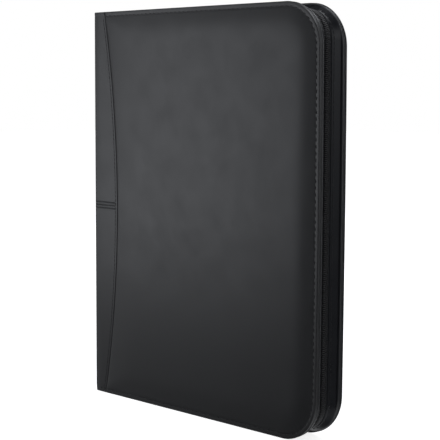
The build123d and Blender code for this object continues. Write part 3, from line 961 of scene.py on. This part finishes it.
# Leather tabs over the tape ends, and the metal parts
tapeTab = {"left": -124.5, "right": -118.2, "near": 0.65, "far": 10.5, "low": 4.9, "high": 7.9, "round": 0.9}
for name, side in covers:
    near, far = sorted((side * tapeTab["near"], side * tapeTab["far"]))
    bottom, top = tapeTab["low"], tapeTab["high"]
    for end in ("Foot", "Head"):
        low, high = (tapeTab["left"], near, bottom), (tapeTab["right"], far, top)
        bottom, top = case["height"] - top, case["height"] - bottom
        tab = roundedBlock(name + "Tab" + end, low, high, tapeTab["round"], trimSkin)
        settle(tab, name + "_cover", "black_leather", name + "_tape_tabs")
for node, width in (
    ("zip_slider", 0.3), ("slider_bridge", 0.25), ("zip_pull", 0.3), ("front_stop", 0.25), ("back_stop", 0.25),
    ("end_stop", 0.3),
):
    crispNode(node, blackMetal, width)
for node in ("front_board", "back_board", "spine_board"):
    crispNode(node, greyBoard)
print("zip made")


# Linings, glued to the boards, with a pleat of the same cloth in each fold
lining = {
    "left": -127.4,
    "edge": 2.0,
    "level": 12.36,
    "rings": [
        (2.3, 12.94), (2.0, 12.9), (2.02, 12.5), (2.2, 12.38), (3.2, 12.36), (8.0, 12.36), (16.0, 12.36),
        (28.0, 12.36),
    ],
    "counts": (40, 60, 8),
    "pleat": [  # cloth in the fold: its face, from the spine to the cover, as (x, level)
        (-129.1, 10.4), (-129.1, 11.4), (-129.14, 12.0), (-129.3, 12.45), (-129.5, 12.72), (-129.42, 12.86),
        (-129.0, 12.8), (-128.5, 12.6), (-128.0, 12.42), (-127.3, 12.36), (-126.4, 12.34),
    ],
    "pleatThick": 0.3,
    "spineX": -129.1,
    "spineHalf": 11.2,
    "spineThick": 0.5,
    "ends": 0.6,
}


def liningSides(inset):
    return foreSides(inset, lambda z: lining["left"] + inset - lining["edge"], lining["counts"])


def acrossPath(path):
    # the way across a path of (x, y) points, at each point
    ways = []
    for a, b in zip(path[:1] + path[:-1], path[1:] + path[-1:]):
        run = math.hypot(b[0] - a[0], b[1] - a[1])
        ways.append(((b[1] - a[1]) / run, -(b[0] - a[0]) / run))
    return ways


def liningStrip(name, path, thick):
    # a strip of cloth along a path of (x, y) points, with its thickness away from the case's inside
    rows = spread(lining["ends"], case["height"] - lining["ends"], 12)
    inner = [(x + nx * thick, y + ny * thick) for (x, y), (nx, ny) in zip(path, acrossPath(path))]
    loop = path + inner[::-1]
    verts = [(x, y, z) for z in rows for x, y in loop]
    return makePiece(name, verts, tubeFaces(0, len(loop), len(rows)), liningCloth, sharp=60)


for name, side in covers:
    mesh = ringSheet(liningSides, lining["rings"], side, lambda x, z: lining["level"])
    piece = coverPiece(name, "Lining", mesh, liningCloth, "black_lining", "lining")
path = [(lining["spineX"], y) for y in spread(-lining["spineHalf"], lining["spineHalf"], 8)]
spineCloth = liningStrip("spineLining", path, lining["spineThick"])
settle(spineCloth, "spine", "black_lining", "spine_lining")
for name, side in covers:
    path = [(x, side * t) for x, t in lining["pleat"]]
    pleat = liningStrip(name + "FoldLining", path, -side * lining["pleatThick"])
    start, end = ((x * mm, y * mm, case["height"] / 2 * mm) for x, y in (path[1], path[-2]))
    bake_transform(pleat)
print("linings made")


# Pockets: a panel sewn down on three sides, with a bound mouth
pocket = {
    "right": 122.5,
    "bottom": 10.0,
    "round": 19.0,
    "sewn": 12.2,  # level of the sewn edge
    "rise": (1.2, 6.5),
    "slackSide": 60.0,  # the mouth gapes this far in from the sides and down from the top
    "slackDown": 90.0,
    "binding": 0.22,
    "bindingEnd": (5.0, 5.8),
    "rim": (0.3, 0.5),
    "groove": (0.16, 2.2, 0.45),
    "under": [(0.8, 12.32), (0.3, 12.3)],
    "rings": [0.0, 0.1, 0.35, 0.8, 1.5, 2.2, 3.0, 4.0, 5.0, 7.0, 10.0, 14.0, 18.0],
    "counts": (60, 60, 8),
}
documents = {"side": front, "left": -116.5, "high": 232.0, "low": 196.0, "level": 10.7, "gape": 1.1}
padSleeve = {"side": back, "left": -102.5, "high": 190.0, "low": 190.0, "level": 10.62, "gape": 0.0}


def pocketMouth(look, x):
    share = (x - look["left"]) / (pocket["right"] - look["left"])
    return look["high"] + (look["low"] - look["high"]) * share


def pocketSides(look, inset):
    # four sides of a pocket: rounded at the lower fore corner, its mouth sloping from high to low
    right, bottom, r = pocket["right"] - inset, pocket["bottom"] + inset, max(pocket["round"] - inset, 0.5)
    flat, rise, turn = pocket["counts"]
    cx, cz, start = right - r, bottom + r, look["left"] + inset
    lower = [(x, bottom) for x in spread(start, cx, flat)[:-1]] + arc(cx, cz, r, -90, -45, turn)
    fore = arc(cx, cz, r, -45, 0, turn)[:-1]
    fore += [(right, z) for z in spread(cz, pocketMouth(look, right) - inset, rise)]
    upper = [(x, pocketMouth(look, x) - inset) for x in spread(right, start, flat + turn)]
    edge = [(start, z) for z in spread(pocketMouth(look, start) - inset, bottom, rise + turn)]
    return lower, fore, upper, edge


def pocketLevel(look, x, z):
    right, bottom, r = pocket["right"], pocket["bottom"], pocket["round"]
    d = min(x - look["left"], right - x, z - bottom)
    if x > right - r and z < bottom + r:
        d = min(d, r - math.hypot(x - right + r, z - bottom - r))
    down = pocketMouth(look, x) - z
    level = pocket["sewn"] - (pocket["sewn"] - look["level"]) * easeStep(*pocket["rise"], d)
    slack = easeStep(0.0, pocket["slackSide"], d) * (1 - easeStep(0.0, pocket["slackDown"], down))
    level -= look["gape"] * slack
    level -= pocket["binding"] * (1 - easeStep(*pocket["bindingEnd"], down))
    return level + rolled(pocket["rim"], min(d, down)) + dent(pocket["groove"], d)


def sewnPocket(name, look, body, *nodes):
    rings = pocket["under"] + [(d, None) for d in pocket["rings"]]
    verts, faces = ringSheet(
        lambda inset: pocketSides(look, inset), rings, look["side"], lambda x, z: pocketLevel(look, x, z)
    )
    return settle(makePiece(name, verts, faces, trimSkin, sharp=50), body, "black_lining", *nodes)


documentPocket = sewnPocket(
    "documentPocket", documents, "front_cover", "document_pocket", "document_pocket_seams"
)
padPocket = sewnPocket("padPocket", padSleeve, "back_cover", "pad_pocket", "pad_pocket_seams")

# Card pockets: three panels, each a step lower and in front of the one behind
card = {
    "left": -4.5,
    "right": 93.5,
    "bottom": 248.0,
    "tops": (311.0, 298.0, 285.0),
    "lining": 12.36,
    "panel": 0.7,
    "gap": 0.02,
    "hem": 4.0,
    "seam": 2.0,
    "stitchEnds": 1.0,
    "rim": (0.3, 0.6),
    "groove": (0.14, 2.0, 0.4),
    "hemGroove": (0.12, 4.0, 0.35),
    "swell": 0.35,
    "swellEnd": 30.0,
    "edgeSteps": (0, 0.12, 0.5, 1.2, 2.0, 2.6, 3.4, 6),  # rows and columns lie close at the edges
    "acrossSteps": (12, 24),
    "acrossFrom": 30,
    "upStep": 14,
    "topSteps": (14, 8, 5, 4.4, 4, 3.6, 2.5, 1.2, 0.5, 0.15, 0),
}


def cardLevel(k, x, z):
    down = card["tops"][k] - z
    d = min(x - card["left"], card["right"] - x, z - card["bottom"])
    level = card["lining"] - card["panel"] * (k + 1)
    level -= card["swell"] * easeStep(card["seam"], card["swellEnd"], d)
    return level + rolled(card["rim"], min(d, down)) + dent(card["groove"], d) + dent(card["hemGroove"], down)


for k, (name, top) in enumerate(zip(("Rear", "Middle", "Front"), card["tops"])):
    steps = card["edgeSteps"] + card["acrossSteps"]
    columns = [card["left"] + d for d in steps] + [card["right"] - d for d in steps]
    columns += spread(card["left"] + card["acrossFrom"], card["right"] - card["acrossFrom"], 6)
    columns.sort()
    rises = [card["bottom"] + d for d in (*card["edgeSteps"], card["upStep"])]
    rises += [top - d for d in card["topSteps"]]
    rear = front * (card["lining"] - card["panel"] * k - card["gap"])
    verts = [(x, front * cardLevel(k, x, z), z) for z in rises for x in columns]
    verts += [(x, rear, z) for z in rises for x in columns]
    faces = sheetFaces(len(columns), len(rises))
    piece = makePiece("cardPocket" + name, verts, faces, trimSkin, sharp=50)
    settle(piece, "front_cover", "black_lining", "card_pocket_" + name.lower())

# Clear window in a leather frame
window = {
    "left": -108.5,
    "right": -16.5,
    "low": 248.0,
    "high": 310.0,
    "rings": [  # inset, level and corner round, from the lining over the frame to the window
        (0.0, 12.34, 2.0), (0.0, 11.6, 2.0), (0.2, 11.35, 2.0), (0.7, 11.2, 1.8), (1.7, 11.2, 1.6),
        (2.1, 11.34, 1.5), (2.5, 11.2, 1.5), (5.2, 11.2, 2.2), (5.75, 11.35, 2.4), (6.0, 11.65, 2.5),
        (6.0, 12.04, 2.5),
    ],
    "sewn": 5,  # the ring that is stitched
}


def roundLoop(left, right, low, high, radius, turns):
    near, far, foot, head = left + radius, right - radius, low + radius, high - radius
    corners = ((far, foot, -90), (far, head, 0), (near, head, 90), (near, foot, 180))
    return [p for cx, cz, a in corners for p in arc(cx, cz, radius, a, a + 90, turns)]


def windowLoop(inset, level, radius):
    left, right, low, high = (window[key] for key in ("left", "right", "low", "high"))
    loop = roundLoop(left + inset, right - inset, low + inset, high - inset, radius, 6)
    return [(x, front * level, z) for x, z in loop]


loops = [windowLoop(*ring) for ring in window["rings"] + window["rings"][:1]]
faces = ringFaces(0, len(loops[0]), len(loops))
frameRim = makePiece("windowFrame", sum(loops, []), faces, trimSkin, sharp=50)
settle(frameRim, "front_cover", "black_leather", "id_window_frame")
crispNode("id_window", clearVinyl)
print("pockets made")


# Writing pad: layered sheets, a bound head, its card, and the pen loop beside it
pad = {
    "left": -98.0,
    "right": 118.0,
    "low": 21.0,
    "high": 319.0,
    "face": 4.35,
    "rear": 10.45,
    "bundles": 14,
    "gap": 0.004,
    "stray": 0.22,
    "round": 0.6,
    "bindingPast": 0.1,
    "binding": [  # the tape's outer and inner face, as (level, height)
        (3.98, 297.0), (3.92, 297.3), (3.92, 318.4), (4.0, 318.95), (4.3, 319.3), (4.9, 319.42), (11.6, 319.42),
        (12.1, 319.3), (12.3, 318.9), (12.3, 306.0), (12.0, 306.0), (12.0, 318.9), (11.7, 319.08), (4.9, 319.08),
        (4.6, 319.0), (4.38, 318.7), (4.3, 318.3), (4.3, 297.0),
    ],
}
verts, faces = [], []
for k in range(pad["bundles"]):
    near, far = (pad["face"] + (pad["rear"] - pad["face"]) * (k + s) / pad["bundles"] for s in (0, 1))
    # the bundles lie a little uneven
    slipX, slipZ = pad["stray"] * math.sin(k * 2.4), pad["stray"] * math.sin(k * 1.7 + 1)
    left, right, low = pad["left"] + slipX, pad["right"] + slipX, pad["low"] + slipZ
    loop = roundLoop(left, right, low, pad["high"], pad["round"], 3)
    faces += tubeFaces(len(verts), len(loop), 2)
    verts += [(x, y, z) for y in (near + pad["gap"], far - pad["gap"]) for x, z in loop]
settle(makePiece("padSheets", verts, faces, paperWhite, sharp=30), "back_cover", "pad_paper", "pad_sheets")
crispNode("pad_backing", padCardFinish)

columns = spread(pad["left"] - pad["bindingPast"], pad["right"] + pad["bindingPast"], 30)
verts = [(x, y, z) for x in columns for y, z in pad["binding"]]
faces = tubeFaces(0, len(pad["binding"]), len(columns))
padTape = makePiece("padBinding", verts, faces, bindingCloth)
settle(padTape, "back_cover", "pad_tape", "pad_binding")

pen = {
    "x": -115.0,
    "y": 5.65,
    "radius": 6.1,
    "open": 26.0,  # degrees left open at the base, on each side
    "low": 150.0,
    "high": 190.0,
    "flap": [(10.0, 11.9), (6.0, 11.9), (4.2, 11.78)],  # from the middle, and level
    "half": 0.55,
    "rib": 0.03,
    "ribs": 24,
    "selvedge": [(0.0, 0.3), (0.25, 0.45)],  # from the end, and half thickness
    "ribsFrom": 0.8,
}
path = [(pen["x"] - d, y) for d, y in pen["flap"]]
path += arc(pen["x"], pen["y"], pen["radius"], 90 + pen["open"], 450 - pen["open"], 40)
path += [(pen["x"] + d, y) for d, y in reversed(pen["flap"])]
ribs = spread(pen["low"] + pen["ribsFrom"], pen["high"] - pen["ribsFrom"], pen["ribs"])
rows = [(pen["low"] + d, half) for d, half in pen["selvedge"]]
rows += [(z, pen["half"] + pen["rib"] * math.sin(k * 1.57)) for k, z in enumerate(ribs)]
rows += [(pen["high"] - d, half) for d, half in reversed(pen["selvedge"])]
verts = [
    (x + s * nx * half, y + s * ny * half, z)
    for s in (1, -1)
    for z, half in rows
    for (x, y), (nx, ny) in zip(path, acrossPath(path))
]
band = makePiece("penLoop", verts, sheetFaces(len(path), len(rows)), elasticCloth, sharp=60)
settle(band, "back_cover", "black_elastic", "pen_loop")
print("pad and pen loop made")


# Stitching
edgeStitch = {"pitch": skin["stitchPitch"], "length": 2.9, "thread": 0.5}
lapStitch = {"pitch": 3.6, "length": 2.9, "thread": 0.34}
wallStitch = {"pitch": 4.0, "length": 3.2, "thread": 0.45}
fineStitch = {"pitch": 3.2, "length": 2.5, "thread": 0.34}
stitchForm = {
    "shares": (0.0, 0.12, 0.5, 0.88, 1.0),  # places along a stitch
    "lifts": (-0.55, 0.25, 0.55, 0.25, -0.55),  # its height there, in threads
    "flat": 1.15,
    "sides": 6,
}


def stitchRows(name, paths, look, body):
    # sewn thread: each stitch dips into its two holes and stands a little proud between them
    verts, faces, shares = [], [], stitchForm["shares"]
    pitch, length, half = look["pitch"], look["length"], look["thread"] / 2
    for path in paths:
        starts = [k * pitch + (pitch - length) / 2 for k in range(int((pathLength(path) - pitch) / pitch))]
        spots = walkPath(path, [start + length * share for start in starts for share in shares])
        for k, (point, out, ahead) in enumerate(spots):
            if k % len(shares) == 0:
                faces += tubeFaces(len(verts), stitchForm["sides"], len(shares))
            centre = point + out * (stitchForm["lifts"][k % len(shares)] * look["thread"])
            across = ahead.cross(out) * (stitchForm["flat"] * half)
            verts += ringPoints(centre, across, out * half, stitchForm["sides"])
    settle(makePiece(name, verts, faces, threadFinish, sharp=80), body, None)


def skinLevel(x, z):
    if x < seamX(z):
        return case["face"] + wrapLift(wrapPlace(x), z)
    return panelLevel(x, z)


def facePath(points, side, levelOf, way):
    # a path over a face: (x, z) points, their level, and the way out
    return [(Vector((x, side * levelOf(x, z), z)), Vector((0, way, 0))) for x, z in points]


for name, side in covers:
    body = name + "_cover"
    stations = edgeRun(case["corner"], skin["stitchFrom"], 1.2, 50)
    d = skin["stitchInset"]
    points = [(x - d * ox, z - d * oz) for x, z, ox, oz in stations]
    stitchRows(name + "EdgeStitches", [facePath(points, side, skinLevel, side)], edgeStitch, body)
    rows = spread(wrap["lapStitchEnds"], case["height"] - wrap["lapStitchEnds"], 220)
    points = [(seamX(z) - wrap["lapStitch"], z) for z in rows]
    stitchRows(name + "SeamStitches", [facePath(points, side, skinLevel, side)], lapStitch, body)
    stations = edgeRun(case["bend"], *wall["stitchRun"])
    d, y = wall["stitchInset"], side * wall["stitchLevel"]
    path = [(insetPoint(station, d, y), Vector((station[2], 0, station[3]))) for station in stations]
    stitchRows(name + "WallStitches", [path], wallStitch, body)
ends = []
for z in (skin["stitchInset"], case["height"] - skin["stitchInset"]):
    places = spread(-wrap["foldFrom"], wrap["foldFrom"], 20)
    ends.append([(Vector(wrapPoint(q, wrapLift(q, z), z, back)), Vector((-1, 0, 0))) for q in places])
stitchRows("spineStitches", ends, edgeStitch, "spine")


def pocketPath(look):
    lower, fore, _, edge = pocketSides(look, pocket["groove"][1])
    points = edge + lower[1:-1] + fore
    return facePath(points, look["side"], lambda x, z: pocketLevel(look, x, z), -look["side"])


def cardPaths():
    left, right = card["left"] + card["seam"], card["right"] - card["seam"]
    foot, top = card["bottom"] + card["seam"], card["tops"][0] - card["stitchEnds"]
    seam = [(left, z) for z in spread(top, foot, 60)[:-1]] + [(x, foot) for x in spread(left, right, 80)]
    seam += [(right, z) for z in spread(foot, top, 60)[1:]]
    paths = [facePath(seam, front, lambda x, z: cardLevel(sum(z < t for t in card["tops"]) - 1, x, z), back)]
    for k, high in enumerate(card["tops"]):
        across = spread(left + card["stitchEnds"], right - card["stitchEnds"], 80)
        hem = [(x, high - card["hem"]) for x in across]
        paths.append(facePath(hem, front, lambda x, z: cardLevel(k, x, z), back))
    return paths


stitchRows("documentStitches", [pocketPath(documents)], wallStitch, "front_cover")
stitchRows("cardStitches", cardPaths(), fineStitch, "front_cover")
loop = windowLoop(*window["rings"][window["sewn"]])
path = [(Vector(point), Vector((0, back, 0))) for point in loop + loop[:1]]
stitchRows("windowStitches", [path], fineStitch, "front_cover")
stitchRows("padPocketStitches", [pocketPath(padSleeve)], wallStitch, "back_cover")
print("stitching made")


# Lamps, aimed at the middle of the case
lamps = {
    "key": {"place": (-0.57, -0.55, 0.24), "size": (0.42, 0.5), "power": 1.1, "roll": -15.0},
    "over": {"place": (0.15, 1.1, 1.5), "size": (1.2, 1.2), "power": 11.0},
    "front": {"place": (0.0, -0.9, 1.5), "size": (1.4, 0.8), "power": 11.0},
    "back": {"place": (-0.1, 1.6, 0.55), "size": (1.4, 1.0), "power": 4.0},
    "left": {"place": (-1.4, 0.25, 0.45), "size": (0.9, 0.86), "power": 2.0},
    "fill": {"place": (1.15, -0.75, 0.72), "size": (2.0, 0.8), "power": 2.0},
}
lampTint = (0.957, 0.98, 1.03)
for name, look in lamps.items():
    data = bpy.data.lights.new(name + "Light", "AREA")
    data.shape, data.energy, data.color = "RECTANGLE", look["power"], lampTint
    data.size, data.size_y = look["size"]
    lamp = bpy.data.objects.new(name + "Light", data)
    lamp.location = look["place"]
    aim = (Vector((0.0, 0.0, case["height"] / 2 * mm)) - lamp.location).to_track_quat("-Z", "Y")
    lamp.rotation_euler = (aim @ Quaternion((0, 0, 1), math.radians(look.get("roll", 0.0)))).to_euler()
    lamp.visible_camera = False
    scene.collection.objects.link(lamp)

# The room: soft glows, each a strength and the ramps (direction, start, end) that bound it
room = {
    "tint": (0.95, 0.97, 1.0, 1),
    "even": 0.08,
    "behind": (0.7, ("away", 0.5, 0.85), ("up", -0.45, 0.0), ("up", 0.5, 0.05)),
    "left": (0.42, ("right", -0.52, -0.95), ("away", 0.35, -0.05), ("up", 0.0, -0.12), ("up", -0.62, -0.42)),
    "right": (0.9, ("right", 0.45, 0.8), ("away", -0.6, -0.2), ("up", -0.1, 0.1), ("up", 0.7, 0.3)),
    "below": (0.6, ("up", -0.96, -0.8)),  # bounce from the floor, the strongest of the four parts here
    "belowParts": (
        (1.0, ("away", -0.1, 0.35), ("up", -0.3, -0.48)),
        (1.7, ("away", -0.3, -0.5), ("right", -0.3, 0.0), ("right", 0.55, 0.3), ("up", -0.22, -0.38)),
        (0.5, ("right", 0.2, 0.55), ("up", -0.42, -0.56)),
        (1.0, ("right", 0.3, -0.1), ("away", 0.2, 0.5), ("up", 0.02, -0.15)),
    ),
}
scene.world = bpy.data.worlds.new("studio")
scene.world.use_nodes = True
tree = scene.world.node_tree
tree.nodes.clear()
ray = addNode(tree, "ShaderNodeTexCoord").outputs["Generated"]
ways = dict(zip(("right", "away", "up"), addNode(tree, "ShaderNodeSeparateXYZ", {"Vector": ray}).outputs))


def glowNode(strength, *ramps):
    for way, start, end in ramps:
        strength = mathNode(tree, "MULTIPLY", rangeNode(tree, ways[way], start, end, "SMOOTHSTEP"), strength)
    return strength


below = glowNode(*room["belowParts"][0])
for part in room["belowParts"][1:]:
    below = mathNode(tree, "MAXIMUM", below, glowNode(*part))
glow = mathNode(tree, "MULTIPLY_ADD", below, glowNode(*room["below"]), room["even"])
for key in ("behind", "left", "right"):
    glow = mathNode(tree, "ADD", glow, glowNode(*room[key]))
lit = addNode(tree, "ShaderNodeBackground", {"Color": room["tint"], "Strength": glow}).outputs[0]
paper = addNode(tree, "ShaderNodeBackground", {"Color": (1, 1, 1, 1), "Strength": 1.0}).outputs[0]
seen = addNode(tree, "ShaderNodeLightPath").outputs["Is Camera Ray"]
both = addNode(tree, "ShaderNodeMixShader", {0: seen, 1: lit, 2: paper})
addNode(tree, "ShaderNodeOutputWorld", {"Surface": both.outputs[0]})

# Pale floor that fades into the white background
ground = {"size": 6.0, "drop": 0.5, "near": 0.3, "far": 1.3, "glow": (0.8, 1.0), "bounce": 0.2}


def floorFinish():
    finish, tree = newFinish("paleFloor")
    spot = addNode(tree, "ShaderNodeVectorMath", {0: objectPlace(tree)}, operation="LENGTH").outputs["Value"]
    near, far, dim = ((glow, glow, glow) for glow in (*ground["glow"], ground["bounce"]))
    shown = mixColour(tree, rangeNode(tree, spot, ground["near"], ground["far"]), near, far)
    seen = addNode(tree, "ShaderNodeLightPath").outputs["Is Camera Ray"]
    return dress(
        finish,
        Base_Color=(0.85, 0.85, 0.86, 1),
        Roughness=0.9,
        Emission_Color=mixColour(tree, seen, dim, shown),
        Emission_Strength=1.0,
    )


shape = bmesh.new()
bmesh.ops.create_grid(shape, x_segments=2, y_segments=2, size=ground["size"])
mesh = bpy.data.meshes.new("floor")
shape.to_mesh(mesh)
shape.free()
mesh.materials.append(floorFinish())
floor = bpy.data.objects.new("floor", mesh)
floor.location.z = -ground["drop"] * mm
floor.visible_glossy = False
scene.collection.objects.link(floor)
floor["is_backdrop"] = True
scene.view_settings.view_transform = "Standard"
print("floor and light set")

low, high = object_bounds()
